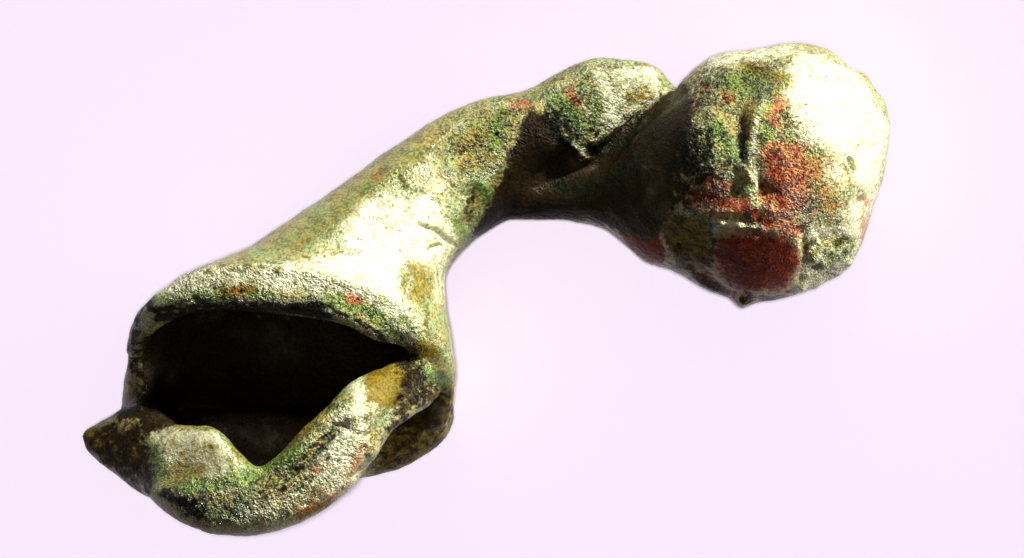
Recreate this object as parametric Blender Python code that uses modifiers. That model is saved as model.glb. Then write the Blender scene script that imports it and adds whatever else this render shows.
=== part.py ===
"""Broken fibula brooch of cast bronze, lying on its side.

A hollow bell-shaped head with a thick lip, a heavy loop across its mouth and a short spur, a narrow bow
that ends in a rounded stub, and a large pear-shaped knob. It is one casting, so it is one solid.
X runs along the brooch from the spur to the knob, Y across it from the loop to the crown of the bow, and Z up.
"""
import math

import bmesh
import bpy
import numpy as np
from mathutils import Matrix, Vector

# Driving sizes, in metres
LENGTH = 0.0363  # tip of the spur to the far side of the knob
MOUTH_WIDTH = 0.0148  # outside, along the mouth of the bell
MOUTH_DEPTH = 0.0119  # outside, across the mouth from lip to lip
BELL_WALL = 0.0010
LIP_THICKNESS = 0.0020  # the rolled upper edge of the mouth
ROLL_THICKNESS = 0.0036  # the thick lower edge of the mouth
BOW_WIDTH = 0.0046  # across the bow, seen from above
BOW_DEPTH = 0.0048  # across the bow, upright
KNOB_WIDTH = 0.0114  # across the knob, seen from above
KNOB_DEPTH = 0.0103  # across the knob, upright
LOOP_WIDTH = 0.0031
LOOP_DEPTH = 0.0029
SPUR_WIDTH = 0.0045  # at the root of the spur
SPUR_DEPTH = 0.0031
REST_FLAT_DEPTH = 0.0001  # worn away where the brooch rests

# Fineness of the skin
RING_POINTS = 40
STEPS_PER_STATION = 5
SKIN_CELL = 0.00021
SOFTENING_PASSES = 5
MOST_TRIANGLES = 9300
SHARP_EDGE = math.radians(50)

HUNDREDTH = LENGTH / 100

# Each station of a form is the x and y of its centre in hundredths of the length, its z in hundredths of the
# form's depth, its width as a share of the form's width, the direction of that width in degrees from X, its
# depth as a share of the form's depth, the lean of that depth from upright in degrees, and its squareness:
# 2 is an oval, and more is squarer.
BOW = [
    (73.2, 55.6, 58, 0.00, -70, 0.00, 0, 2.0),
    (71.5, 55.3, 58, 0.48, -70, 0.46, 0, 2.0),
    (68.2, 54.0, 58, 0.80, -70, 0.77, 0, 2.0),
    (64.6, 52.8, 58, 1.00, -69, 1.02, 0, 2.1),
    (61.2, 50.9, 58, 1.04, -67, 1.12, 0, 2.1),
    (57.4, 49.2, 59, 0.99, -64, 1.05, 0, 2.0),
    (52.8, 47.7, 62, 1.10, -60, 0.98, 0, 2.0),
    (47.9, 45.0, 67, 1.21, -58, 0.98, 0, 2.0),
]
BELL = [
    (43.3, 42.0, 31, 0.38, -54, 0.47, 0, 2.0),
    (38.8, 38.1, 35, 0.41, -43, 0.53, 3, 2.1),
    (35.2, 33.9, 37, 0.52, -28, 0.62, 8, 2.2),
    (32.0, 30.1, 39, 0.67, -18, 0.72, 15, 2.2),
    (29.4, 26.7, 40, 0.82, -15, 0.84, 24, 2.2),
    (27.5, 23.7, 41, 0.92, -13, 0.94, 33, 2.3),
    (26.4, 21.4, 41, 0.97, -10, 0.99, 39, 2.4),
    (25.5, 19.8, 41, 1.02, -7, 1.02, 44, 2.5),
]
SOLID_BELL_STATIONS = 3  # the hollow starts below these
HOLLOW_ROOT = (36.0, 33.5, 37)
BEYOND_THE_MOUTH = (24.8, 13.5, 57, 1.06, -5, 1.06, 43, 2.6)
LIP_DEGREES = (-18, 180)  # how far round the mouth the lip runs, where 90 is the highest point
LIP_END_SHARE = 0.5  # how thick the lip is at its ends, as a share of its middle
KNOB = [
    (47.5, 41.7, 31, 0.00, 90, 0.00, 0, 2.0),
    (51.0, 42.0, 31, 0.19, 90, 0.24, 0, 2.0),
    (57.4, 42.3, 31, 0.23, 90, 0.27, 0, 2.0),
    (61.2, 42.2, 31, 0.25, 90, 0.31, 0, 2.0),
    (64.9, 42.4, 35, 0.33, 90, 0.40, 0, 2.0),
    (69.2, 42.6, 40, 0.57, 90, 0.59, 0, 2.0),
    (72.7, 43.6, 45, 0.71, 90, 0.75, 0, 2.0),
    (77.9, 44.4, 48, 0.93, 90, 0.90, 0, 2.1),
    (82.9, 44.2, 50, 1.00, 90, 0.98, 0, 2.1),
    (87.8, 44.9, 51, 1.00, 90, 1.00, 0, 2.1),
    (92.3, 45.5, 50, 0.91, 90, 0.94, 0, 2.1),
    (95.3, 45.4, 49, 0.75, 90, 0.80, 0, 2.1),
    (97.4, 47.2, 49, 0.53, 90, 0.57, 0, 2.0),
    (99.2, 49.2, 49, 0.28, 90, 0.31, 0, 2.0),
    (99.9, 49.8, 49, 0.00, 90, 0.00, 0, 2.0),
]

# What grows from the mouth is placed from its middle, by the mouth's own sizes
MOUTH_MIDDLE = BELL[-1][:2]
ALONG_MOUTH = MOUTH_WIDTH / 41
ACROSS_MOUTH = MOUTH_DEPTH / 33
LOOP = [
    (19.4, 0.6, 14.0, 0.00, 115, 0.00, 0, 2.0),
    (17.2, -0.6, 17.6, 0.70, 115, 0.80, 0, 2.0),
    (13.9, -2.1, 21.4, 0.84, 122, 0.90, 0, 2.0),
    (10.4, -4.1, 24.2, 0.94, 133, 0.93, 0, 2.1),
    (7.3, -7.6, 25.4, 1.04, 142, 1.00, 0, 2.2),
    (4.3, -11.0, 25.7, 1.10, 134, 1.00, 0, 2.2),
    (0.5, -14.2, 25.4, 1.03, 115, 1.00, 0, 2.2),
    (-3.8, -15.7, 24.8, 1.02, 93, 0.95, 0, 2.2),
    (-8.2, -14.3, 23.9, 1.38, 79, 0.88, 0, 2.8),
    (-11.7, -12.4, 22.4, 1.46, 68, 0.80, 0, 3.2),
    (-14.4, -11.4, 20.0, 1.24, 66, 0.80, 0, 3.0),
    (-16.8, -10.4, 17.0, 0.94, 65, 0.80, 0, 2.4),
    (-18.8, -9.3, 14.5, 0.00, 65, 0.00, 0, 2.0),
]
SPUR = [
    (-11.5, -11.5, 17.0, 0.00, 90, 0.00, 0, 2.0),
    (-13.4, -11.5, 15.6, 0.70, 90, 1.00, 0, 2.0),
    (-17.2, -9.8, 14.0, 1.00, 90, 0.95, 0, 2.0),
    (-19.8, -9.1, 13.2, 0.86, 90, 0.80, 0, 2.0),
    (-22.1, -9.0, 12.7, 0.60, 90, 0.53, 0, 2.0),
    (-24.4, -8.8, 12.0, 0.38, 90, 0.34, 0, 2.0),
    (-25.9, -8.2, 11.7, 0.20, 90, 0.20, 0, 2.0),
    (-26.4, -7.8, 11.7, 0.00, 90, 0.00, 0, 2.0),
]
SPUR_ROOT = [
    (-18.6, 3.0, 12.0, 0.00, 0, 0.00, 0, 2.0),
    (-18.9, 0.2, 10.4, 0.30, 0, 0.60, 0, 2.0),
    (-19.0, -2.6, 8.0, 0.36, 0, 1.00, 0, 2.0),
    (-18.8, -5.4, 7.8, 0.42, 0, 1.40, 0, 2.2),
    (-17.9, -7.8, 8.6, 0.50, 0, 1.60, 0, 2.4),
    (-16.4, -9.8, 10.0, 0.58, 0, 1.60, 0, 2.4),
    (-14.6, -12.0, 11.0, 0.00, 0, 0.00, 0, 2.0),
]
ROLL = [
    (-16.0, -6.0, 9.0, 0.00, 95, 0.00, 0, 2.0),
    (-12.5, -7.4, 8.0, 0.60, 95, 0.60, 0, 2.0),
    (-6.3, -8.6, 6.0, 0.75, 95, 0.70, 0, 2.0),
    (0.7, -9.2, 4.8, 0.85, 95, 0.80, 0, 2.0),
    (6.7, -8.8, 4.6, 0.97, 100, 0.85, 0, 2.0),
    (12.7, -7.1, 4.9, 1.05, 102, 0.95, 0, 2.0),
    (16.9, -5.0, 5.3, 0.96, 105, 0.85, 0, 2.0),
    (19.0, -3.8, 5.5, 0.75, 105, 0.60, 0, 2.0),
    (19.9, -3.4, 5.5, 0.42, 105, 0.30, 0, 2.0),
    (20.2, -3.3, 5.5, 0.00, 105, 0.00, 0, 2.0),
]

# Carving on the upper side: a path of x, y in hundredths of the length, its half width and its height, where
# less than nothing is a cut
CARVING = [
    ([(82.3, 56.5), (80.2, 52.8), (80.8, 47.5), (83.5, 43.0)], 1.7, -1.0),  # valley down the knob
    ([(85.0, 55.0), (83.4, 51.0), (83.6, 46.5), (85.8, 43.0)], 1.4, 0.7),  # ridge beside the valley
    ([(76.8, 49.8)], 3.6, 1.2),  # swelling left of the valley
    ([(77.6, 38.6), (80.0, 38.0), (84.0, 38.3)], 0.9, 0.5),  # ledge under the swellings
    ([(74.2, 36.6)], 2.4, -0.6),
    ([(81.6, 28.4)], 1.3, 1.1),  # nib on the lower edge
    ([(96.6, 47.2)], 1.0, -0.8),
    ([(96.0, 41.0)], 1.1, -0.7),
    ([(92.6, 36.6)], 1.6, -0.6),
    ([(96.0, 55.6)], 1.3, 0.9),  # knot on the shoulder
    ([(73.4, 54.6), (68.0, 50.4), (63.3, 45.6)], 0.9, -0.9),  # cleft between the stub and the knob
    ([(60.5, 46.0), (57.0, 44.6)], 2.6, -0.9),  # sunken flank below the stub
    ([(59.5, 53.6)], 1.8, 0.5),
    ([(47.6, 42.0)], 1.5, -0.4),
    ([(32.4, 13.8), (28.3, 9.4), (24.8, 7.6), (20.5, 7.4)], 0.9, -0.9),  # crease along the loop
    ([(13.6, 8.6)], 3.0, -0.5),  # flat face at the root of the loop
    ([(41.5, 20.3)], 1.2, 0.5),
]
RESTING_STRETCHES = [(5, 48), (54, 70), (75, 100)]  # the head, the stub and the knob, in hundredths
UPPER_SIDE = (9, 13)  # carving fades in between these heights, in hundredths of the length


def section(station, width, depth, inset=0.0, on_the_mouth=False):
    """The points round one oval section, drawn in by inset on every side."""
    x, y, z, wide, turn, deep, lean, squareness = station
    if on_the_mouth:
        mouth_x, mouth_y = MOUTH_MIDDLE
        middle = Vector((mouth_x * HUNDREDTH, mouth_y * HUNDREDTH, 0))
        centre = middle + Vector((x * ALONG_MOUTH, y * ACROSS_MOUTH, z * ACROSS_MOUTH))
    else:
        centre = Vector((x * HUNDREDTH, y * HUNDREDTH, z / 100 * depth))
    turn, lean = math.radians(turn), math.radians(lean)
    across = Vector((math.cos(turn), math.sin(turn), 0))
    upright = Vector((0, 0, math.cos(lean))) + Vector((-across.y, across.x, 0)) * math.sin(lean)
    half_width = max(wide * width / 2 - inset, 0)
    half_depth = max(deep * depth / 2 - inset, 0)
    points = []
    for i in range(RING_POINTS):
        angle = 2 * math.pi * i / RING_POINTS
        out = math.copysign(abs(math.cos(angle)) ** (2 / squareness), math.cos(angle)) * half_width
        up = math.copysign(abs(math.sin(angle)) ** (2 / squareness), math.sin(angle)) * half_depth
        points.append(centre + across * out + upright * up)
    return points


def smooth_run(sections):
    """The sections with smooth curves drawn from each to the next, point by point."""
    rows = np.array([[tuple(p) for p in points] for points in sections])
    padded = np.concatenate([rows[:1], rows, rows[-1:]])
    found = []
    for a, b, c, d in zip(padded, padded[1:], padded[2:], padded[3:]):
        for step in range(STEPS_PER_STATION):
            t = step / STEPS_PER_STATION
            bend = 2 * a - 5 * b + 4 * c - d
            twist = 3 * b - a - 3 * c + d
            found.append(0.5 * (2 * b + (c - a) * t + bend * t**2 + twist * t**3))
    return [*found, rows[-1]]


def loft(name, sections, collection):
    """A closed body through the sections, with each end closed by a fan from its middle."""
    rows = smooth_run(sections)
    points = np.concatenate(rows)
    ends = [rows[0].mean(axis=0), rows[-1].mean(axis=0)]
    last_row = len(points) - RING_POINTS
    faces = []
    for j in range(RING_POINTS):
        k = (j + 1) % RING_POINTS
        for i in range(0, last_row, RING_POINTS):
            faces.append((i + j, i + k, i + RING_POINTS + k, i + RING_POINTS + j))
        faces.append((len(points), k, j))
        faces.append((len(points) + 1, last_row + j, last_row + k))
    mesh = bpy.data.meshes.new(name)
    mesh.from_pydata([*map(tuple, points), *map(tuple, ends)], [], faces)
    body = bpy.data.objects.new(name, mesh)
    collection.objects.link(body)
    weld(mesh)
    return body


def weld(mesh):
    bm = bmesh.new()
    bm.from_mesh(mesh)
    bmesh.ops.remove_doubles(bm, verts=bm.verts, dist=1e-6)
    bmesh.ops.recalc_face_normals(bm, faces=bm.faces)
    bm.to_mesh(mesh)
    bm.free()


def rolled_lip(collection):
    """A round bead along the upper edge of the mouth, thinning towards its corners."""
    outer = section(BELL[-1], MOUTH_WIDTH, MOUTH_DEPTH)
    inner = section(BELL[-1], MOUTH_WIDTH, MOUTH_DEPTH, LIP_THICKNESS / 2)
    curve = bpy.data.curves.new("lip_path", "CURVE")
    curve.dimensions = "3D"
    curve.bevel_depth = LIP_THICKNESS / 2
    curve.bevel_resolution = 4
    curve.use_fill_caps = True
    first, last = (round(degrees / 360 * RING_POINTS) for degrees in LIP_DEGREES)
    spline = curve.splines.new("POLY")
    spline.points.add(last - first)
    for point, i in zip(spline.points, range(first, last + 1)):
        fullness = LIP_END_SHARE + (1 - LIP_END_SHARE) * math.sin(math.pi * (i - first) / (last - first))
        point.co = (*outer[i % RING_POINTS].lerp(inner[i % RING_POINTS], fullness), 1)
        point.radius = fullness
    path = bpy.data.objects.new("lip_path", curve)
    collection.objects.link(path)
    lip = bpy.data.objects.new("lip", evaluated_mesh(path))
    collection.objects.link(lip)
    bpy.data.objects.remove(path)
    weld(lip.data)
    return lip


def evaluated_mesh(body):
    bpy.context.view_layer.update()
    return bpy.data.meshes.new_from_object(body.evaluated_get(bpy.context.evaluated_depsgraph_get()))


def bake(body):
    """Turns the body's modifiers into its own mesh."""
    body.data = evaluated_mesh(body)
    body.modifiers.clear()


def joined(name, bodies, collection):
    """One object that holds every body's faces."""
    bm = bmesh.new()
    for body in bodies:
        bm.from_mesh(body.data)
    mesh = bpy.data.meshes.new(name)
    bm.to_mesh(mesh)
    bm.free()
    whole = bpy.data.objects.new(name, mesh)
    collection.objects.link(whole)
    for body in bodies:
        bpy.data.objects.remove(body)
    return whole


def cut(body, cutter):
    boolean = body.modifiers.new("cut", "BOOLEAN")
    boolean.operation = "DIFFERENCE"
    boolean.solver = "EXACT"
    boolean.use_self = True
    boolean.object = cutter
    bake(body)
    cutter.hide_render = True
    cutter.display_type = "WIRE"


def head_and_bow(parts, cutters):
    """The bow and the bell in one run, with the bell hollowed from its mouth."""
    bow = [section(s, BOW_WIDTH, BOW_DEPTH) for s in BOW]
    bell = [section(s, MOUTH_WIDTH, MOUTH_DEPTH) for s in BELL]
    body = loft("head_and_bow", bow + bell, parts)
    root = section((*HOLLOW_ROOT, 0, 0, 0, 0, 2), MOUTH_WIDTH, MOUTH_DEPTH)
    inner = [section(s, MOUTH_WIDTH, MOUTH_DEPTH, BELL_WALL) for s in BELL[SOLID_BELL_STATIONS:]]
    beyond = section(BEYOND_THE_MOUTH, MOUTH_WIDTH, MOUTH_DEPTH, BELL_WALL)
    cut(body, loft("hollow", [root, *inner, beyond], cutters))
    return body


def skin(body):
    """Melts the joined forms into one soft-edged casting."""
    remesh = body.modifiers.new("melt", "REMESH")
    remesh.mode = "VOXEL"
    remesh.voxel_size = SKIN_CELL
    smooth = body.modifiers.new("soften", "SMOOTH")
    smooth.factor = 0.5
    smooth.iterations = SOFTENING_PASSES
    bake(body)


def distance_to_path(places, path):
    """How far each place is from the nearest stretch of the path, seen from above."""
    nearest = np.full(len(places), np.inf)
    ends = path[1:] if len(path) > 1 else path
    for start, end in zip(path, ends):
        run = end - start
        along = np.clip((places - start) @ run / max(run @ run, 1e-12), 0, 1)
        nearest = np.minimum(nearest, np.linalg.norm(places - start - along[:, None] * run, axis=1))
    return nearest


def carve(body):
    """Presses the carving into the skin, or raises it, along the skin's own direction."""
    mesh = body.data
    points = np.array([tuple(v.co) for v in mesh.vertices])
    outwards = np.array([tuple(v.normal) for v in mesh.vertices])
    low, high = UPPER_SIDE
    upper = np.clip((points[:, 2] / HUNDREDTH - low) / (high - low), 0, 1)
    for path, half_width, height in CARVING:
        distance = distance_to_path(points[:, :2], np.array(path) * HUNDREDTH)
        push = height * HUNDREDTH * np.exp(-((distance / (half_width * HUNDREDTH)) ** 2)) * upper
        points = points + outwards * push[:, None]
    mesh.vertices.foreach_set("co", points.ravel())
    mesh.update()


def thin_out(body):
    triangles = sum(len(p.vertices) - 2 for p in body.data.polygons)
    decimate = body.modifiers.new("thin_out", "DECIMATE")
    decimate.ratio = min(1, MOST_TRIANGLES / triangles)
    bake(body)


def lay_down(body, cutters):
    """Cuts the flats that the brooch rests on, and puts the origin under its middle."""
    points = np.array([tuple(v.co) for v in body.data.vertices])
    along = points[:, 0] / HUNDREDTH
    feet = [points[(along > start) & (along < end), 2].min() for start, end in RESTING_STRETCHES]
    level = max(feet) + REST_FLAT_DEPTH
    bpy.ops.mesh.primitive_cube_add(size=1)
    ground = bpy.context.object
    ground.name = "ground"
    ground.scale = (2 * LENGTH, 2 * LENGTH, LENGTH)
    ground.location = (LENGTH / 2, LENGTH / 3, level - LENGTH / 2)
    for collection in ground.users_collection:
        collection.objects.unlink(ground)
    cutters.objects.link(ground)
    cut(body, ground)
    points = np.array([tuple(v.co) for v in body.data.vertices])
    middle = (points.min(axis=0) + points.max(axis=0)) / 2
    middle[2] = level
    body.data.transform(Matrix.Translation(-Vector(middle)))


def bronze():
    """Dull grey-green corroded bronze."""
    material = bpy.data.materials.new("corroded_bronze")
    material.use_nodes = True
    shader = material.node_tree.nodes["Principled BSDF"]
    shader.inputs["Base Color"].default_value = (0.36, 0.37, 0.24, 1)
    shader.inputs["Metallic"].default_value = 0.35
    shader.inputs["Roughness"].default_value = 0.55
    return material


def main():
    for obj in list(bpy.data.objects):
        bpy.data.objects.remove(obj)
    parts = bpy.data.collections.new("fibula_brooch")
    cutters = bpy.data.collections.new("cutters")
    bpy.context.scene.collection.children.link(parts)
    bpy.context.scene.collection.children.link(cutters)
    grown = {"on_the_mouth": True}
    forms = [
        head_and_bow(parts, cutters),
        rolled_lip(parts),
        loft("knob", [section(s, KNOB_WIDTH, KNOB_DEPTH) for s in KNOB], parts),
        loft("loop", [section(s, LOOP_WIDTH, LOOP_DEPTH, **grown) for s in LOOP], parts),
        loft("spur", [section(s, SPUR_WIDTH, SPUR_DEPTH, **grown) for s in SPUR], parts),
        loft("spur_root", [section(s, SPUR_WIDTH, SPUR_DEPTH, **grown) for s in SPUR_ROOT], parts),
        loft("roll", [section(s, ROLL_THICKNESS, ROLL_THICKNESS, **grown) for s in ROLL], parts),
    ]
    brooch = joined("brooch", forms, parts)
    skin(brooch)
    carve(brooch)
    thin_out(brooch)
    lay_down(brooch, cutters)
    brooch.data.materials.append(bronze())
    brooch.data.shade_smooth()
    brooch.data.set_sharp_from_angle(angle=SHARP_EDGE)


main()
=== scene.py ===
import bmesh
import bpy
import numpy as np
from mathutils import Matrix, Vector


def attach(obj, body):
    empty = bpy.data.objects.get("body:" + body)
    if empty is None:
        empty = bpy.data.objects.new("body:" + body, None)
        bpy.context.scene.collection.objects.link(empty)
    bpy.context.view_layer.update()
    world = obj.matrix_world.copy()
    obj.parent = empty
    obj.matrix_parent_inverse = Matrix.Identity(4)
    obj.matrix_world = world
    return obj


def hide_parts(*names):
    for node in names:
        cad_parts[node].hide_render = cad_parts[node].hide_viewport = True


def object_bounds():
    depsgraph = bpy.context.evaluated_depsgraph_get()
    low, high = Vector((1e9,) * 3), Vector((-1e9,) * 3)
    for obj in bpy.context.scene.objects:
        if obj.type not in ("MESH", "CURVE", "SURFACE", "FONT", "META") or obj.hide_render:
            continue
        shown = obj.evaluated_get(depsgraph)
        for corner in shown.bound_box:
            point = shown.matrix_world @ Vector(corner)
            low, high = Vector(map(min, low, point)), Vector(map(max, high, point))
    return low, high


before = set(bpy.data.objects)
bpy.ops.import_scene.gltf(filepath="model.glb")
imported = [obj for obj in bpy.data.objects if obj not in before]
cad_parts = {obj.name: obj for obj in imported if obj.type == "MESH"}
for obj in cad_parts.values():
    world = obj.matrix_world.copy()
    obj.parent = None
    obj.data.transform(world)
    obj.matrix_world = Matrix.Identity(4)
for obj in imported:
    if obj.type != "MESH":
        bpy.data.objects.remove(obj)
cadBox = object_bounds()
print("frame loaded")

picture = {
    "width": 1024,
    "height": 558,
    "middle": (485, 289),  # where the brooch's own origin falls
    "metres": 0.000045,  # in each pixel
}


def place(x, y):
    # a spot of the picture, in metres from the brooch's origin
    return (
        (x - picture["middle"][0]) * picture["metres"],
        (picture["middle"][1] - y) * picture["metres"],
    )


# Nodes
def addNode(tree, kind, settings=None, inputs=None):
    node = tree.nodes.new(kind)
    for name, value in (settings or {}).items():
        setattr(node, name, value)
    for key, value in (inputs or {}).items():
        feed(tree, node.inputs[key], value)
    return node


def feed(tree, socket, value):
    if isinstance(value, bpy.types.NodeSocket):
        tree.links.new(value, socket)
    else:
        socket.default_value = value


def geometryTree(name, inputs):
    tree = bpy.data.node_groups.new(name, "GeometryNodeTree")
    tree.interface.new_socket("Geometry", in_out="INPUT", socket_type="NodeSocketGeometry")
    tree.interface.new_socket("Geometry", in_out="OUTPUT", socket_type="NodeSocketGeometry")
    for label, value in inputs.items():
        socket = tree.interface.new_socket(label, in_out="INPUT", socket_type="NodeSocketFloat")
        socket.default_value = value
    return tree, tree.nodes.new("NodeGroupInput").outputs, tree.nodes.new("NodeGroupOutput")


def sums(tree):
    # short forms of the Math node for one tree
    def calc(operation, a, b):
        return addNode(tree, "ShaderNodeMath", {"operation": operation}, {0: a, 1: b}).outputs[0]

    return calc


def between(tree, value, low, high, out=(0.0, 1.0)):
    # eases from one value to the other as the first passes from low to high
    ranging = addNode(tree, "ShaderNodeMapRange", {"interpolation_type": "SMOOTHSTEP"})
    for key, item in zip(("Value", "From Min", "From Max", "To Min", "To Max"), (value, low, high, *out)):
        feed(tree, ranging.inputs[key], item)
    return ranging.outputs["Result"]


def runTree(piece, tree, values):
    # one use of a tree on a piece, with its inputs by name, turned into plain mesh
    modifier = piece.modifiers.new(tree.name, "NODES")
    modifier.node_group = tree
    sockets = {s.name: s.identifier for s in tree.interface.items_tree if s.in_out == "INPUT"}
    for label, value in values.items():
        modifier[sockets[label]] = value
    bakeModifiers(piece)


def bakeModifiers(piece):
    bpy.context.view_layer.update()
    baked = bpy.data.meshes.new_from_object(piece.evaluated_get(bpy.context.evaluated_depsgraph_get()))
    piece.modifiers.clear()
    piece.data = baked


# The casting
casting = {
    "weld": 0.000001,  # corners nearer than this become one
    "rounding": 1,  # levels of subdivision
    "cell": 0.000085,  # width of the finest face of the skin
    "softening": 9,  # passes that take the corners off
    "softness": 0.5,  # how far each pass goes
    "triangles": 190000,
    # the upper side: where it fades in, by height and by how far the skin faces up, and over how much
    "carvedHeight": (0.003, 0.0012),
    "carvedFacing": (-0.15, 0.4),
    "paintedHeight": (0.0022, 0.002),
    "paintedFacing": (-0.1, 0.3),
    "insideFade": 0.0006,  # over how much paint inside the bell fades out at its highest
    "roughUnder": 0.4,  # how rough the underside is
    "pittedUnder": 0.25,
    "relief": {
        "Lump size": 0.0022,
        "Lump height": 0.00022,
        "Dent size": 0.00085,
        "Dent height": 0.00012,
        "Grain size": 0.00027,
        "Grain height": 0.00009,
        "Pit size": 0.00042,
        "Pit depth": 0.0002,
    },
    "lumpDetail": 2.0,
    "dentDetail": 3.0,
    "grainEdge": 0.45,  # how far from its middle a grain meets the skin, in cells
    "grainEverywhere": 0.15,  # grain of the smoothest places
    "pitEdge": 0.42,
    "pitFloor": 0.12,
    "unpitted": 0.45,  # share of the cells without a pit
    "pitEverywhere": 0.05,
    "pitSwirl": 0.7,  # makes the edges of the pits ragged
}


def castSkin():
    # the solid's skin, with its flat faces eased into one another
    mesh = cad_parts["brooch"].data.copy()
    bm = bmesh.new()
    bm.from_mesh(mesh)
    bmesh.ops.remove_doubles(bm, verts=bm.verts, dist=casting["weld"])
    bm.to_mesh(mesh)
    bm.free()
    body = bpy.data.objects.new("casting", mesh)
    bpy.context.scene.collection.objects.link(body)
    mesh.materials.clear()
    rounding = body.modifiers.new("rounding", "SUBSURF")
    rounding.levels = rounding.render_levels = casting["rounding"]
    remesh = body.modifiers.new("cells", "REMESH")
    remesh.mode = "VOXEL"
    remesh.voxel_size = casting["cell"]
    smooth = body.modifiers.new("softening", "SMOOTH")
    smooth.factor = casting["softness"]
    smooth.iterations = casting["softening"]
    bakeModifiers(body)
    return body


def pointsOf(mesh):
    co = np.empty(len(mesh.vertices) * 3, np.float32)
    mesh.vertices.foreach_get("co", co)
    return co.reshape(-1, 3).astype(float)


def normalsOf(mesh):
    found = np.empty(len(mesh.vertices) * 3, np.float32)
    mesh.vertex_normals.foreach_get("vector", found)
    return found.reshape(-1, 3).astype(float)


def fade(values, start, reach):
    # 0 up to the start, then rising to 1 over the reach
    return np.clip((values - start) / reach, 0, 1)


def distanceTo(points, path):
    # from each point to the nearest stretch of a path, as the camera sees them
    stops = np.array([place(*stop) for stop in path])
    nearest = np.full(len(points), np.inf)
    for start, end in zip(stops, stops[1:] if len(stops) > 1 else stops):
        run = end - start
        length = max(run @ run, 1e-12)  # never 0, for a path of a single spot
        along = np.clip((points[:, :2] - start) @ run / length, 0, 1)
        gap = points[:, :2] - start - along[:, None] * run
        nearest = np.minimum(nearest, np.hypot(gap[:, 0], gap[:, 1]))
    return nearest


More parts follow.
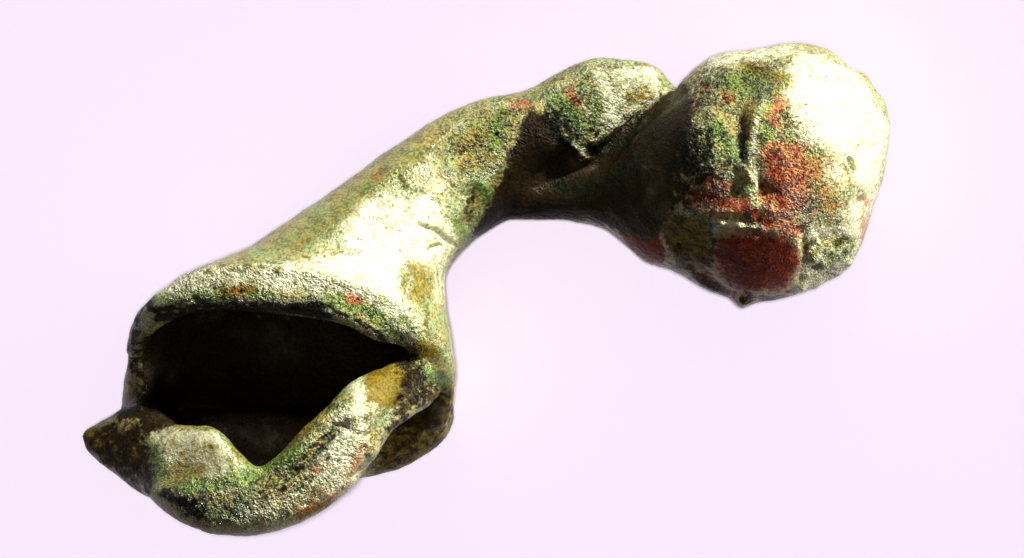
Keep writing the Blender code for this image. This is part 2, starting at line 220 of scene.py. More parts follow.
# each stroke: its path in the picture, its half width and its height, all in pixels; less than 0 is a cut
strokes = [
    (
        [(800, 82), (778, 87), (763, 103), (754, 124), (753, 139), (748, 155), (752, 174), (757, 189)],
        4.5,
        3.5,
    ),  # ridge down the knob
    ([(750, 116), (745, 134), (743, 156), (746, 172)], 8, 5),  # valley down the knob
    ([(708, 114), (720, 128), (727, 144), (730, 160), (741, 173), (754, 186)], 4.5, 5),  # left lump's crest
    ([(700, 146), (704, 168)], 22, 6),  # left lump
    ([(796, 122), (806, 180)], 34, 3.5),  # right lump
    ([(722, 212), (744, 210), (768, 208)], 9, 9),  # fills the foot of the valley
    ([(744, 172), (748, 190)], 9, 9),
    ([(767, 178)], 8, 8),
    ([(716, 225), (730, 223), (744, 226), (762, 229)], 2.8, 3.5),  # ledge under the lumps
    ([(722, 223)], 3, 2.5),
    ([(739, 226)], 2.8, 3),
    ([(751, 219)], 3.5, 3.5),
    ([(761, 224)], 3, 3),
    ([(722, 234), (768, 238)], 5, -3),
    ([(798, 230), (803, 254), (798, 280)], 4, -3.5),  # edge of the smooth patch
    ([(688, 268), (706, 280), (724, 291), (742, 299)], 3.5, -5),  # step above the lower edge
    ([(693, 274), (708, 287), (722, 297)], 4, 3),
    ([(742, 303)], 4, 4),
    ([(677, 246)], 2.2, -6),  # pin hole
    ([(847, 160), (850, 167), (852, 173)], 2.2, -7),  # short crack
    ([(858, 201)], 3, -6),
    ([(863, 158), (861, 166)], 2.4, -4),
    ([(804, 249), (809, 244)], 3.5, -4),
    ([(820, 238)], 3.2, -4),
    ([(834, 246), (841, 241)], 3.5, -4),
    ([(843, 256)], 3, -3),
    ([(806, 271), (814, 268)], 3.2, -3.5),
    ([(824, 277), (828, 270)], 3.4, -3.5),
    ([(812, 257)], 4, 5),
    ([(829, 251)], 3.4, 5),
    ([(822, 264)], 3.6, 4.5),
    ([(847, 263)], 4, 4),
    ([(800, 286)], 4.5, 5),
    ([(816, 288)], 4, 4),
    ([(838, 278)], 4.5, 4),
    ([(864, 80), (880, 96)], 3, -3),
    ([(845, 78), (862, 102)], 3.4, 2),
    ([(834, 148), (852, 130), (862, 121)], 3, 2.2),  # wrinkle on the shoulder of the knob
    ([(842, 158), (854, 149)], 2.6, -2),
    ([(664, 92), (650, 106), (632, 124), (606, 146)], 4, -4),  # cleft under the stub
    ([(566, 140), (578, 150), (588, 158)], 5, 5),
    ([(546, 116), (556, 134), (566, 152)], 6, -2),
    ([(600, 66), (612, 92), (618, 118)], 5, -2.5),
    ([(640, 74), (628, 96)], 5, 2.5),
    ([(536, 108), (528, 128)], 6, 3),  # shoulder where the stub's flank turns under
    ([(472, 188), (474, 204), (468, 222)], 5, -2),  # dark fold under the bow
    ([(484, 186), (490, 200)], 7, 3),
    ([(420, 226), (436, 232), (450, 243)], 3, -4),
    ([(430, 250), (440, 246)], 3, -4),
    ([(399, 178), (404, 188)], 3, -3),
    ([(440, 176), (452, 186), (464, 196)], 3.5, -2.5),
    ([(456, 156), (470, 150)], 3, -3.5),
    ([(478, 162)], 3, -4),
    ([(463, 172)], 2.8, -3.5),
    ([(487, 148)], 2.8, -3.5),
    ([(496, 134), (500, 142)], 2.8, -3),
    ([(405, 262), (409, 282), (405, 298)], 4, -2),
    ([(338, 429), (322, 443), (302, 466), (284, 478)], 4, -5),  # crease along the loop
    ([(345, 434), (328, 449), (308, 471), (288, 483)], 4, 4),
    ([(330, 422), (346, 424), (358, 432), (372, 433)], 2.6, -3),  # crack across the loop
    ([(350, 416), (366, 414)], 5, 3),
    ([(366, 446), (370, 460), (358, 474)], 3, -3),
    ([(150, 490), (176, 494), (214, 492)], 6, 3),
    ([(326, 308), (352, 316), (376, 330), (396, 350)], 7, 8),  # brings the lip's edge down
    ([(160, 312), (200, 314), (250, 312), (300, 310)], 3, -3),
    ([(412, 370)], 5, 4),
    ([(402, 402), (386, 424), (380, 438)], 9, -7),  # slims the outer side of the loop
    ([(424, 384), (440, 386)], 9, -6),
    ([(404, 396), (422, 391), (438, 397), (449, 400)], 2.6, -3),  # line between the wall and the lower roll
]

# where the skin is rough, seen from above: its place, its reach and how rough, from 0 to 1
roughPlaces = [
    ([(775, 150), (800, 200)], 46, 1.0),
    ([(705, 140), (712, 190)], 30, 1.0),
    ([(828, 262)], 34, 1.0),
    ([(712, 92), (760, 84)], 26, 1.0),
    ([(755, 222)], 20, 0.9),
    ([(575, 115), (610, 95)], 42, 1.0),
    ([(470, 150), (505, 125)], 34, 0.65),
    ([(190, 290), (270, 290), (350, 302), (400, 335)], 24, 1.0),
    ([(345, 430), (320, 470), (260, 500), (205, 505)], 28, 1.0),
    ([(170, 462)], 20, 0.5),
    ([(400, 205)], 34, 0.35),
    ([(860, 130)], 40, 0.3),
    ([(404, 358), (418, 388)], 16, 0.9),
    ([(100, 440), (140, 450)], 20, 0.15),
    ([(420, 430)], 24, 0.15),
    ([(742, 262), (776, 264)], 26, 0.5),
]
pittedPlaces = [
    ([(828, 258)], 30, 0.6),
    ([(480, 160), (500, 135)], 24, 0.6),
    ([(430, 235)], 20, 0.5),
    ([(590, 112)], 28, 0.6),
    ([(340, 450), (290, 480)], 22, 0.5),
    ([(200, 292), (250, 292)], 18, 0.5),
    ([(705, 95)], 20, 0.5),
]


def insideOutline(points, path):
    # which points lie inside a closed path, as the camera sees them
    stops = np.array([place(*stop) for stop in path])
    inside = np.zeros(len(points), bool)
    for (x1, y1), (x2, y2) in zip(stops, stops[1:]):
        if y1 == y2:
            continue
        crossing = x1 + (points[:, 1] - y1) / (y2 - y1) * (x2 - x1)
        inside ^= ((y1 > points[:, 1]) != (y2 > points[:, 1])) & (points[:, 0] < crossing)
    return inside


def paintPlaces(mesh, places, under):
    # a soft-edged mask of the places on the upper side, with one value for the underside
    points, outwards = pointsOf(mesh), normalsOf(mesh)
    mask = np.zeros(len(points))
    for path, reach, strength, *highest in places:
        away = distanceTo(points, path) / (reach * picture["metres"])
        if len(path) > 2 and path[0] == path[-1]:
            away[insideOutline(points, path)] = 0
        patch = strength * np.exp(-(away**2))
        if highest:  # for what is painted only under this height
            patch *= fade(highest[0] - points[:, 2], 0, casting["insideFade"])
        mask = np.maximum(mask, patch)
    high = fade(points[:, 2], *casting["paintedHeight"])
    upper = np.maximum(high, fade(outwards[:, 2], *casting["paintedFacing"]))
    return mask * upper + under * (1 - upper)


def storeMask(mesh, name, values):
    attribute = mesh.attributes.new(name, "FLOAT", "POINT")
    attribute.data.foreach_set("value", values.astype(np.float32))


def carve(body):
    mesh = body.data
    points, outwards = pointsOf(mesh), normalsOf(mesh)
    facing = fade(outwards[:, 2], *casting["carvedFacing"])
    upper = fade(points[:, 2], *casting["carvedHeight"]) * facing
    moved = points.copy()
    for path, halfWidth, height in strokes:
        away = distanceTo(points, path) / (halfWidth * picture["metres"])
        push = height * picture["metres"] * np.exp(-(away**2)) * upper
        moved += outwards * push[:, None]
    mesh.vertices.foreach_set("co", moved.astype(np.float32).ravel())
    mesh.update()


def corrodedSkinTree():
    # lumps, dents, grains and pits, pushed along the skin's own direction
    tree, given, result = geometryTree("corrodedSkin", casting["relief"])
    calc = sums(tree)
    spot = tree.nodes.new("GeometryNodeInputPosition").outputs[0]

    def named(name):
        node = addNode(tree, "GeometryNodeInputNamedAttribute", {"data_type": "FLOAT"}, {"Name": name})
        return node.outputs["Attribute"]

    def cloud(size, detail):
        scale = calc("DIVIDE", 1.0, given[size])
        texture = addNode(tree, "ShaderNodeTexNoise", {}, {"Vector": spot, "Scale": scale, "Detail": detail})
        return calc("SUBTRACT", texture.outputs[0], 0.5)

    def cells(size, vector=spot):
        scale = calc("DIVIDE", 1.0, given[size])
        return addNode(tree, "ShaderNodeTexVoronoi", {"feature": "F1"}, {"Vector": vector, "Scale": scale})

    def scaled(vector, factor):
        inputs = {0: vector, "Scale": factor}
        return addNode(tree, "ShaderNodeVectorMath", {"operation": "SCALE"}, inputs).outputs[0]

    rough, pitted = named("rough"), named("pitted")
    lumps = calc("MULTIPLY", cloud("Lump size", casting["lumpDetail"]), given["Lump height"])
    dents = calc("MULTIPLY", cloud("Dent size", casting["dentDetail"]), given["Dent height"])
    grains = calc("SUBTRACT", casting["grainEdge"], cells("Grain size").outputs["Distance"])
    grains = calc("MULTIPLY", grains, given["Grain height"])
    grains = calc("MULTIPLY", grains, calc("ADD", rough, casting["grainEverywhere"]))
    # the pits' cells are looked up at swirled places
    swirlScale = calc("DIVIDE", casting["pitSwirl"], given["Pit size"])
    swirl = addNode(tree, "ShaderNodeTexNoise", {}, {"Vector": spot, "Scale": swirlScale})
    swirl = scaled(swirl.outputs["Color"], given["Pit size"])
    ragged = addNode(tree, "ShaderNodeVectorMath", {"operation": "ADD"}, {0: spot, 1: swirl}).outputs[0]
    pitCells = cells("Pit size", ragged)
    chosen = addNode(tree, "FunctionNodeSeparateColor", {}, {0: pitCells.outputs["Color"]}).outputs[0]
    holes = between(tree, pitCells.outputs["Distance"], casting["pitEdge"], casting["pitFloor"])
    holes = calc("MULTIPLY", holes, calc("GREATER_THAN", chosen, casting["unpitted"]))
    holes = calc("MULTIPLY", holes, given["Pit depth"])
    holes = calc("MULTIPLY", holes, calc("ADD", pitted, casting["pitEverywhere"]))
    height = calc("ADD", calc("ADD", lumps, dents), calc("SUBTRACT", grains, holes))
    push = scaled(tree.nodes.new("GeometryNodeInputNormal").outputs[0], height)
    moved = addNode(tree, "GeometryNodeSetPosition", {}, {"Geometry": given["Geometry"], "Offset": push})
    kept = addNode(
        tree,
        "GeometryNodeStoreNamedAttribute",
        {"data_type": "FLOAT", "domain": "POINT"},
        {"Geometry": moved.outputs[0], "Name": "relief", "Value": height},
    )
    real = addNode(tree, "GeometryNodeRealizeInstances", {}, {"Geometry": kept.outputs[0]})
    finish = addNode(tree, "GeometryNodeSetMaterial", {}, {"Geometry": real.outputs[0], "Material": patina})
    tree.links.new(finish.outputs[0], result.inputs[0])
    return tree


def thinOut(body):
    # flat stretches give up faces first, so the relief keeps them
    now = sum(len(p.vertices) - 2 for p in body.data.polygons)
    decimate = body.modifiers.new("thinning", "DECIMATE")
    decimate.ratio = min(1, casting["triangles"] / now)
    bakeModifiers(body)


def keepInBox(mesh):
    kept = np.clip(pointsOf(mesh), *np.array(cadBox))
    mesh.vertices.foreach_set("co", kept.astype(np.float32).ravel())
    mesh.update()


# The bronze's patina, with painted highlights and painted shade
# each layer, in the order in which they lie: its colour and its deeper colour, the size of its specks, how
# soft its edge is, and how much of it lies on the underside
layers = {
    # the pale layer: a cream patina, and painted highlights where the brooch is lit
    "creamAndPaintedHighlight": {
        "colour": (0.74, 0.74, 0.54),
        "deep": (0.37, 0.37, 0.15),
        "specks": 0.0003,
        "soft": 0.32,
        "under": 0.25,
    },
    "ochre": {
        "colour": (0.30, 0.235, 0.032),
        "deep": (0.085, 0.062, 0.008),
        "specks": 0.0003,
        "soft": 0.4,
        "under": 0.25,
    },
    "verdigris": {
        "colour": (0.29, 0.39, 0.085),
        "deep": (0.020, 0.050, 0.008),
        "specks": 0.0003,
        "soft": 0.22,
        "under": 0.4,
    },
    "rust": {
        "colour": (0.60, 0.22, 0.065),
        "deep": (0.085, 0.010, 0.004),
        "specks": 0.0004,
        "soft": 0.42,
        "under": 0.2,
    },
    "oxblood": {
        "colour": (0.27, 0.046, 0.013),
        "deep": (0.070, 0.010, 0.004),
        "specks": 0.0003,
        "soft": 0.4,
        "under": 0.1,
    },
    # the dark brown layer: painted shade on the shaded parts and on the underside, over a dark brown patina
    "umberAndPaintedShade": {
        "colour": (0.047, 0.030, 0.012),
        "deep": (0.014, 0.009, 0.004),
        "specks": 0.0004,
        "soft": 0.3,
        "under": 0.45,
    },
    # the near-black green layer: painted shade, over a dark green patina
    "darkGreenAndPaintedShade": {
        "colour": (0.026, 0.031, 0.014),
        "deep": (0.006, 0.006, 0.003),
        "specks": 0.0003,
        "soft": 0.25,
        "under": 0.25,
    },
}
farSide = 0.0066  # what is painted inside the bell lies under this height
# where each layer lies: a path in the picture, its reach in pixels, its strength and, inside the bell, the
# height that it lies under. A path that ends where it starts is filled.
layerPlaces = {
    # the pale layer's places: cream patina, and painted highlights on the knob's lit right dome and pitted
    # patch, the stub's lit top, the bow's lit flank, the lip's lit roll, the loop's lit end, and the lit
    # crests of the knob's ridge, left lump and ledge
    "creamAndPaintedHighlight": [
        (
            [(800, 60), (850, 80), (880, 130), (868, 190), (846, 150), (806, 138), (792, 96), (800, 60)],
            12,
            1.0,
        ),
        ([(868, 196), (850, 222)], 18, 0.9),
        ([(826, 176)], 20, 0.9),
        ([(802, 234), (856, 234), (846, 274), (800, 296), (802, 234)], 8, 1.3),
        ([(600, 74), (650, 72), (655, 92), (612, 118), (600, 74)], 8, 1.0),
        ([(586, 112), (620, 130)], 14, 0.6),
        ([(572, 142), (584, 158)], 6, 0.9),
        ([(368, 204), (424, 204), (452, 238), (438, 262), (380, 262), (350, 232), (368, 204)], 12, 0.85),
        ([(300, 500), (250, 510)], 12, 0.5),
        ([(292, 270), (340, 262), (388, 276), (394, 308), (340, 298), (292, 270)], 9, 1.3),
        ([(394, 300), (412, 330)], 13, 1.1),
        ([(320, 250), (350, 240)], 14, 0.35),
        ([(356, 378), (362, 406)], 9, 1.1),
        ([(352, 424), (346, 450), (328, 474)], 19, 1.3),
        ([(156, 436), (216, 438), (224, 470), (212, 456), (166, 452), (156, 436)], 8, 1.3),
        ([(212, 476), (228, 482)], 10, 1.1),
        ([(300, 500), (320, 500), (352, 478)], 14, 1.1),
        ([(440, 268), (441, 300)], 10, 0.6),
        ([(166, 290), (205, 282), (250, 280), (300, 280)], 14, 0.95),
        ([(727, 144), (742, 172)], 5, 0.9),
        ([(763, 103), (754, 124), (749, 155), (754, 186)], 4, 1.0),
        ([(718, 222), (745, 226), (762, 227)], 3.5, 0.9),
        ([(712, 62), (745, 56), (790, 50)], 9, 0.8),
    ],
    "ochre": [
        ([(744, 67), (778, 80), (788, 84)], 8, 0.75),
        ([(634, 98), (646, 95)], 13, 0.8),
        ([(412, 268), (422, 270), (418, 290), (412, 268)], 11, 0.7),
        ([(420, 346), (434, 352)], 8, 1.1),
        ([(380, 368), (402, 372), (400, 398), (380, 392), (380, 368)], 11, 1.6),
        ([(408, 160), (460, 140), (508, 112)], 15, 0.5),
        ([(296, 244), (350, 206), (396, 168)], 15, 0.5),
        ([(462, 170), (490, 160)], 14, 0.5),
        ([(226, 292), (254, 290)], 9, 0.9),
        ([(186, 460), (204, 478)], 14, 0.5),
        ([(330, 486), (300, 502)], 9, 0.6),
        ([(302, 512), (330, 502)], 7, 0.9),
        ([(806, 250), (846, 244)], 13, 0.6),
        ([(750, 104), (741, 150)], 7, 0.6),
        ([(696, 276), (714, 288)], 8, 0.9),
        ([(668, 222), (700, 226), (706, 262), (682, 264), (668, 222)], 9, 1.1),
        ([(318, 408), (296, 436)], 11, 0.7),
        ([(812, 170), (826, 200)], 18, 0.6),
        ([(160, 444), (214, 446)], 12, 0.45),
        ([(404, 396), (452, 392), (440, 450), (380, 474), (404, 396)], 10, 0.9, farSide),
        ([(88, 438), (116, 440), (140, 462)], 18, 1.0),
    ],
    "verdigris": [
        ([(722, 78), (756, 76), (774, 92), (740, 96), (722, 78)], 8, 0.62),
        ([(574, 120), (560, 106)], 14, 1.1),
        ([(588, 134), (600, 104)], 9, 0.6),
        ([(480, 186), (492, 196)], 9, 1.2),
        ([(496, 122), (498, 142)], 11, 0.7),
        ([(394, 178)], 7, 0.9),
        ([(456, 218), (464, 240)], 8, 0.8),
        ([(250, 262), (320, 222), (372, 182)], 10, 0.5),
        ([(236, 300), (200, 302)], 7, 0.7),
        ([(428, 372), (444, 382)], 8, 1.4),
        ([(152, 450), (164, 472)], 9, 1.2),
        ([(182, 488), (214, 484), (250, 474), (300, 450)], 9, 1.1),
        ([(156, 298), (220, 294), (280, 298)], 9, 0.6),
        ([(330, 298), (372, 310), (402, 340)], 8, 0.9),
        ([(820, 262), (845, 250)], 14, 0.6),
        ([(716, 126), (734, 162)], 8, 0.9),
        ([(446, 300), (448, 340)], 8, 0.5),
        ([(190, 505), (240, 518)], 11, 0.8),
        ([(400, 320), (420, 336)], 9, 0.7),
        ([(690, 136), (708, 140), (704, 180)], 12, 0.7),
        ([(766, 108), (764, 146)], 11, 0.9),
        ([(690, 216), (720, 236)], 9, 0.5),
        ([(470, 124), (520, 108), (560, 76)], 8, 0.5),
    ],
    "rust": [
        ([(768, 152), (792, 150), (800, 172), (796, 212), (770, 222), (764, 190), (768, 152)], 11, 0.85),
        ([(776, 176), (784, 204)], 8, 1.3),
        ([(818, 204), (810, 166)], 22, 0.42),
        ([(722, 190), (704, 180)], 11, 0.9),
        ([(704, 90)], 6, 0.9),
        ([(726, 101)], 8, 0.8),
        ([(778, 103), (770, 122)], 8, 0.8),
        ([(752, 217)], 9, 1.0),
        ([(766, 222), (792, 232)], 11, 0.9),
        ([(569, 92), (578, 104)], 6, 0.8),
        ([(514, 106), (526, 103)], 6, 0.8),
        ([(350, 298), (360, 301)], 6, 0.9),
        ([(234, 290), (246, 290)], 6, 0.6),
        ([(322, 464), (316, 470)], 7, 0.7),
        ([(378, 177)], 6, 0.6),
        (
            [(724, 248), (748, 242), (778, 246), (788, 262), (776, 282), (742, 282), (724, 266), (724, 248)],
            13,
            0.9,
        ),
        ([(620, 210), (644, 216), (658, 256), (634, 248), (620, 210)], 7, 1.2),
        ([(864, 236), (862, 200)], 7, 0.7),
        ([(300, 262), (322, 264)], 8, 0.5),
        ([(686, 200), (740, 206)], 12, 0.8),
        ([(364, 446), (352, 468)], 8, 0.6),
        ([(300, 508), (326, 501), (348, 484)], 9, 0.45),
    ],
    "oxblood": [
        (
            [(724, 248), (750, 245), (778, 248), (786, 262), (776, 280), (744, 282), (728, 268), (724, 248)],
            14,
            1.0,
        ),
        ([(620, 210), (644, 216), (658, 256), (634, 248), (620, 210)], 9, 1.3),
        ([(770, 158), (778, 204)], 8, 0.75),
        ([(694, 196), (735, 206), (766, 222)], 9, 0.8),
        ([(704, 276), (730, 296)], 7, 0.8),
    ],
    # the dark brown layer's places: painted shadow cast by the stub and the knob over the bow, neck and
    # cone; painted shade on the spur, on the bell's left wall, in its hollow and on its far side, on the
    # loop's upper end and inner flank, and along the knob's shaded left and lower sides
    "umberAndPaintedShade": [
        (
            [(534, 118), (548, 126), (562, 148), (582, 169), (622, 140), (660, 108), (680, 92), (684, 110)]
            + [(680, 132), (664, 170), (668, 204), (648, 232), (590, 212), (524, 214), (482, 232)]
            + [(504, 192), (534, 118)],
            9,
            1.3,
        ),
        ([(86, 438), (110, 428), (140, 428), (146, 450), (150, 488), (138, 486), (86, 438)], 9, 0.8),
        ([(122, 414), (138, 412)], 8, 1.2),
        ([(134, 320), (136, 370), (142, 410)], 12, 0.65),
        ([(150, 316), (400, 330), (410, 400), (330, 480), (150, 430), (150, 316)], 12, 1.2, farSide),
        ([(404, 396), (452, 392), (440, 450), (380, 474), (404, 396)], 10, 0.6, farSide),
        (
            [(404, 356), (412, 354), (418, 364), (424, 382), (438, 392), (434, 400), (412, 402), (400, 420)]
            + [(394, 426), (402, 404), (406, 380), (404, 356)],
            8,
            0.8,
        ),
        ([(312, 410), (296, 430)], 8, 0.6),
        ([(664, 214), (708, 222), (712, 262), (676, 268), (664, 214)], 10, 0.55),
        ([(690, 110), (706, 84)], 10, 0.7),
        ([(682, 176), (686, 214)], 12, 0.65),
        ([(681, 146), (675, 170), (680, 198)], 8, 0.95),
        ([(812, 298), (740, 300)], 7, 0.8),
        ([(690, 276), (726, 294)], 9, 0.7),
    ],
    # the near-black green layer's places: painted shade under the lip's rolled edge, under the stub and
    # along the neck, down the knob's valley and on its left lump, in the creases of the bow and the loop,
    # and along the loop's lower edge
    "darkGreenAndPaintedShade": [
        ([(684, 134), (706, 132), (708, 172), (696, 182), (682, 168), (684, 134)], 7, 0.75),
        ([(150, 310), (230, 305), (330, 305)], 4.5, 0.9),
        ([(160, 318), (220, 311), (300, 310), (330, 315)], 5, 1.3),
        ([(560, 188), (600, 188), (636, 164)], 13, 0.9),
        ([(336, 310), (376, 330), (394, 348)], 4, 0.75),
        ([(204, 512), (170, 492)], 10, 0.9),
        ([(130, 314), (134, 306), (150, 302)], 8, 0.9),
        ([(546, 118), (560, 138), (574, 152)], 6, 1.1),
        ([(472, 190), (469, 220)], 6, 0.7),
        ([(334, 436), (318, 452), (300, 470)], 5, 0.6),
        ([(592, 150), (604, 152)], 7, 0.9),
        ([(574, 140), (560, 118)], 12, 0.75),
        ([(742, 122), (740, 148), (743, 168)], 6, 0.75),
        ([(602, 148), (626, 142), (650, 120)], 8, 0.8),
    ],
}
bareBronze = {
    "green": (0.40, 0.46, 0.19),
    "brown": (0.49, 0.41, 0.13),
    "deep": (0.042, 0.047, 0.008),
    "patchEdge": (0.42, 0.58),  # where green turns to brown
}
surface = {
    # each noise: its size, its detail and how rough it is
    "fine": (0.00014, 3.0, 0.7),
    "broad": (0.0006, 4.0, 0.65),
    "patches": (0.0010, 3.0, 0.6),
    "crumbs": (0.00021, 3.0, 0.7),
    "dust": (0.00009, 1.0, 0.6),
    "specks": (4.0, 0.7),  # their size is the layer's own
    "fineShare": 0.6,
    "mottling": (0.58, 0.40),
    "meanDepth": 0.58,  # smooth places come near this depth
    "smoothUpTo": 0.7,
    "evenness": 0.5,
    "maskShare": 0.9,  # what a painted place and its specks add to a layer's cover
    "speckShare": 2.2,
    "crusts": ("ochre", "oxblood", "umberAndPaintedShade", "darkGreenAndPaintedShade"),  # layers that shine less
    "crustEdge": (0.2, 0.9),
    "specular": (0.95, 0.15),
    # a painted highlight: lighter on the relief's peaks
    "peakHighlightColour": (0.60, 0.57, 0.40),
    "peakHighlightHeight": (0.00001, 0.00010),
    "peakHighlightShare": 0.16,
    # painted shade: darker in the relief's pits
    "pitShadeColour": (0.034, 0.026, 0.006),
    "pitShadeHeight": (-0.00002, -0.00020),
    "pitShadeShare": 0.75,
    "glossEdge": (0.35, 0.65),
    "roughness": (0.16, 0.46),
    "dustShare": 0.4,
    "bumpReach": 0.00042,
    "crumblyFrom": (0.0, 0.9),
    "crumbliness": (0.25, 1.0),
}


def patinaMaterial():
    material = bpy.data.materials.new("corrodedBronze")
    material.use_nodes = True
    tree = material.node_tree
    shader = tree.nodes["Principled BSDF"]
    calc = sums(tree)
    spot = addNode(tree, "ShaderNodeTexCoord").outputs["Object"]

    def cloud(size, detail, rough):
        inputs = {"Vector": spot, "Scale": 1 / size, "Detail": detail, "Roughness": rough}
        return addNode(tree, "ShaderNodeTexNoise", {}, inputs).outputs[0]

    def mixed(factor, under, over):
        node = addNode(tree, "ShaderNodeMix", {"data_type": "RGBA"})
        for key, value in zip((0, 6, 7), (factor, under, over)):
            feed(tree, node.inputs[key], (*value, 1) if isinstance(value, tuple) else value)
        return node.outputs[2]

    def named(name):
        return addNode(tree, "ShaderNodeAttribute", {"attribute_name": name}).outputs["Fac"]

    fine = cloud(*surface["fine"])
    broad = cloud(*surface["broad"])
    share = surface["fineShare"]
    depth = calc("ADD", calc("MULTIPLY", fine, share), calc("MULTIPLY", broad, 1 - share))
    depth = between(tree, depth, *surface["mottling"])
    rough = named("rough")
    evenness = between(tree, rough, 0.0, surface["smoothUpTo"], (surface["evenness"], 0.0))
    depth = calc("ADD", depth, calc("MULTIPLY", calc("SUBTRACT", surface["meanDepth"], depth), evenness))
    patches = between(tree, cloud(*surface["patches"]), *bareBronze["patchEdge"])
    colour = mixed(patches, bareBronze["green"], bareBronze["brown"])
    colour = mixed(depth, colour, bareBronze["deep"])
    crust = 0.0
    # the pale layer also carries painted highlights, and the two darkest layers painted shade, among the
    # patina's colours
    for name, layer in layers.items():
        specks = calc("SUBTRACT", cloud(layer["specks"], *surface["specks"]), 0.5)
        specks = calc("MULTIPLY", specks, surface["speckShare"])
        cover = calc("ADD", calc("MULTIPLY", named(name), surface["maskShare"]), specks)
        cover = between(tree, cover, 0.5 - layer["soft"], 0.5 + layer["soft"])
        colour = mixed(cover, colour, mixed(depth, layer["colour"], layer["deep"]))
        if name in surface["crusts"]:
            crust = calc("MAXIMUM", cover, crust)
    relief = named("relief")
    # painted highlight: lighter where the relief stands highest
    peakHighlight = between(tree, relief, *surface["peakHighlightHeight"])
    colour = mixed(calc("MULTIPLY", peakHighlight, surface["peakHighlightShare"]), colour, surface["peakHighlightColour"])
    # painted shade: darker where the relief sinks
    pitShade = between(tree, relief, *surface["pitShadeHeight"])
    colour = mixed(calc("MULTIPLY", pitShade, surface["pitShadeShare"]), colour, surface["pitShadeColour"])
    tree.links.new(colour, shader.inputs["Base Color"])
    shader.inputs["Metallic"].default_value = 0.0
    gloss = between(tree, fine, *surface["glossEdge"], surface["roughness"])
    tree.links.new(gloss, shader.inputs["Roughness"])
    shine = between(tree, crust, *surface["crustEdge"], surface["specular"])
    tree.links.new(shine, shader.inputs["Specular IOR Level"])
    dust = calc("MULTIPLY", cloud(*surface["dust"]), surface["dustShare"])
    crumbs = calc("ADD", cloud(*surface["crumbs"]), dust)
    strength = between(tree, rough, *surface["crumblyFrom"], surface["crumbliness"])
    inputs = {"Strength": strength, "Distance": surface["bumpReach"], "Height": crumbs}
    bump = addNode(tree, "ShaderNodeBump", {}, inputs)
    tree.links.new(bump.outputs[0], shader.inputs["Normal"])
    return material


patina = patinaMaterial()
body = castSkin()
print("skin laid:", len(body.data.vertices), "points")
carve(body)
print("carved")
storeMask(body.data, "rough", paintPlaces(body.data, roughPlaces, casting["roughUnder"]))
storeMask(body.data, "pitted", paintPlaces(body.data, pittedPlaces, casting["pittedUnder"]))
runTree(body, corrodedSkinTree(), casting["relief"])
print("corroded")
thinOut(body)
for name, layer in layers.items():
    storeMask(body.data, name, paintPlaces(body.data, layerPlaces[name], layer["under"]))
keepInBox(body.data)
body.data.shade_smooth()
print("thinned to", sum(len(p.vertices) - 2 for p in body.data.polygons), "triangles")
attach(body, "root")
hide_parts("brooch")

# The floor, the lights and the camera
studio = {
    "floorColour": (0.955, 0.862, 0.985),
    "floorRoughness": 0.9,
    "floorReach": 2.0,
    "wash": {"direction": (0, 0, 1), "distance": 0.8, "size": 0.05, "power": 5.83},
    "topKey": {"direction": (0.42, 0.76, 0.50), "distance": 0.6, "size": 0.04, "power": 8.6},
    "sideKey": {"direction": (0.92, 0.04, 0.38), "distance": 0.12, "size": 0.016, "power": 0.140},
    "fill": {"direction": (-0.35, -0.45, 0.82), "distance": 0.4, "size": 0.25, "power": 0.28},
    "fillTint": (1.0, 0.84, 0.62),
    "dome": (1.0, 0.90, 0.96),
    "domeStrength": 0.085,
    "gamma": 0.8,  # under 1 for a picture of strong contrast
    "cameraHeight": 0.45,
    "focusHeight": 0.005,
    "sensorWidth": 36,  # in millimetres, as Blender has it
    "nearest": 0.01,  # what is nearer the camera doesn't show
}


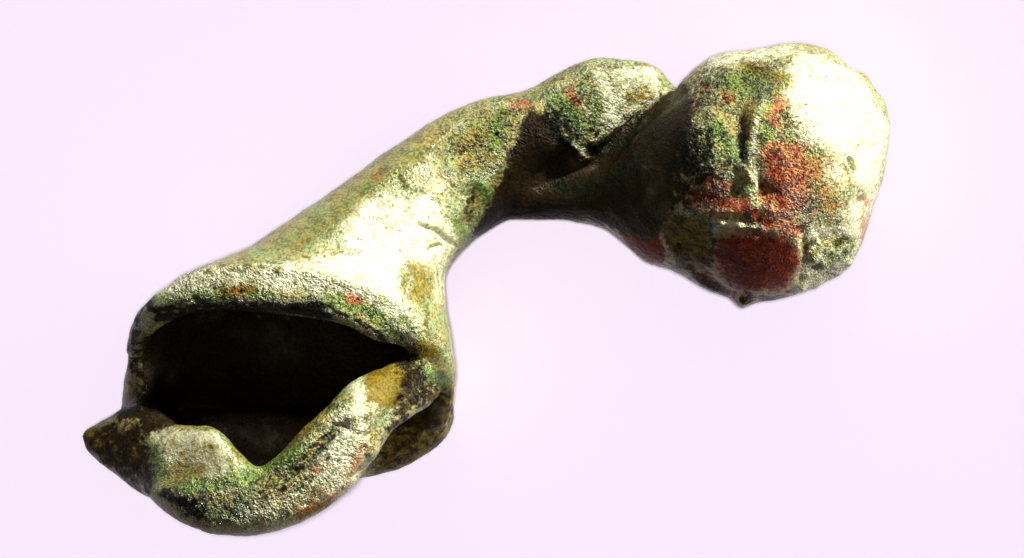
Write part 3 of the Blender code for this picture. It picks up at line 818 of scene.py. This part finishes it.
def layFloor():
    reach = studio["floorReach"]
    corners = [(x * reach, y * reach, 0) for x, y in ((-1, -1), (1, -1), (1, 1), (-1, 1))]
    mesh = bpy.data.meshes.new("floor")
    mesh.from_pydata(corners, [], [(0, 1, 2, 3)])
    floor = bpy.data.objects.new("floor", mesh)
    bpy.context.scene.collection.objects.link(floor)
    material = bpy.data.materials.new("paleFloor")
    material.use_nodes = True
    shader = material.node_tree.nodes["Principled BSDF"]
    shader.inputs["Base Color"].default_value = (*studio["floorColour"], 1)
    shader.inputs["Roughness"].default_value = studio["floorRoughness"]
    mesh.materials.append(material)
    floor.visible_diffuse = False  # so that the far side of the brooch stays dark
    return floor


def addLight(name, only):
    # an area light that shines towards the brooch, on one piece alone
    given = studio[name]
    data = bpy.data.lights.new(name, "AREA")
    data.shape = "DISK"
    data.size = given["size"]
    data.energy = given["power"]
    data.color = studio.get(name + "Tint", (1, 1, 1))
    light = bpy.data.objects.new(name, data)
    bpy.context.scene.collection.objects.link(light)
    direction = Vector(given["direction"]).normalized()
    light.location = direction * given["distance"]
    light.rotation_euler = direction.to_track_quat("Z", "Y").to_euler()
    shown = bpy.data.collections.new(name + "Only")
    shown.objects.link(only)
    light.light_linking.receiver_collection = shown


floor = layFloor()
addLight("topKey", body)
addLight("sideKey", body)
addLight("fill", body)
addLight("wash", floor)
world = bpy.data.worlds.new("dome")
world.use_nodes = True
world.node_tree.nodes["Background"].inputs["Color"].default_value = (*studio["dome"], 1)
world.node_tree.nodes["Background"].inputs["Strength"].default_value = studio["domeStrength"]
bpy.context.scene.world = world
bpy.context.scene.view_settings.view_transform = "Standard"
bpy.context.scene.view_settings.gamma = studio["gamma"]

lens = bpy.data.cameras.new("camera")
camera = bpy.data.objects.new("camera", lens)
bpy.context.scene.collection.objects.link(camera)
middle = place(picture["width"] / 2, picture["height"] / 2)
camera.location = (*middle, studio["cameraHeight"] + studio["focusHeight"])
lens.sensor_width = studio["sensorWidth"]
lens.lens = lens.sensor_width * studio["cameraHeight"] / (picture["width"] * picture["metres"])
lens.clip_start = studio["nearest"]
bpy.context.scene.camera = camera
print("stage set")
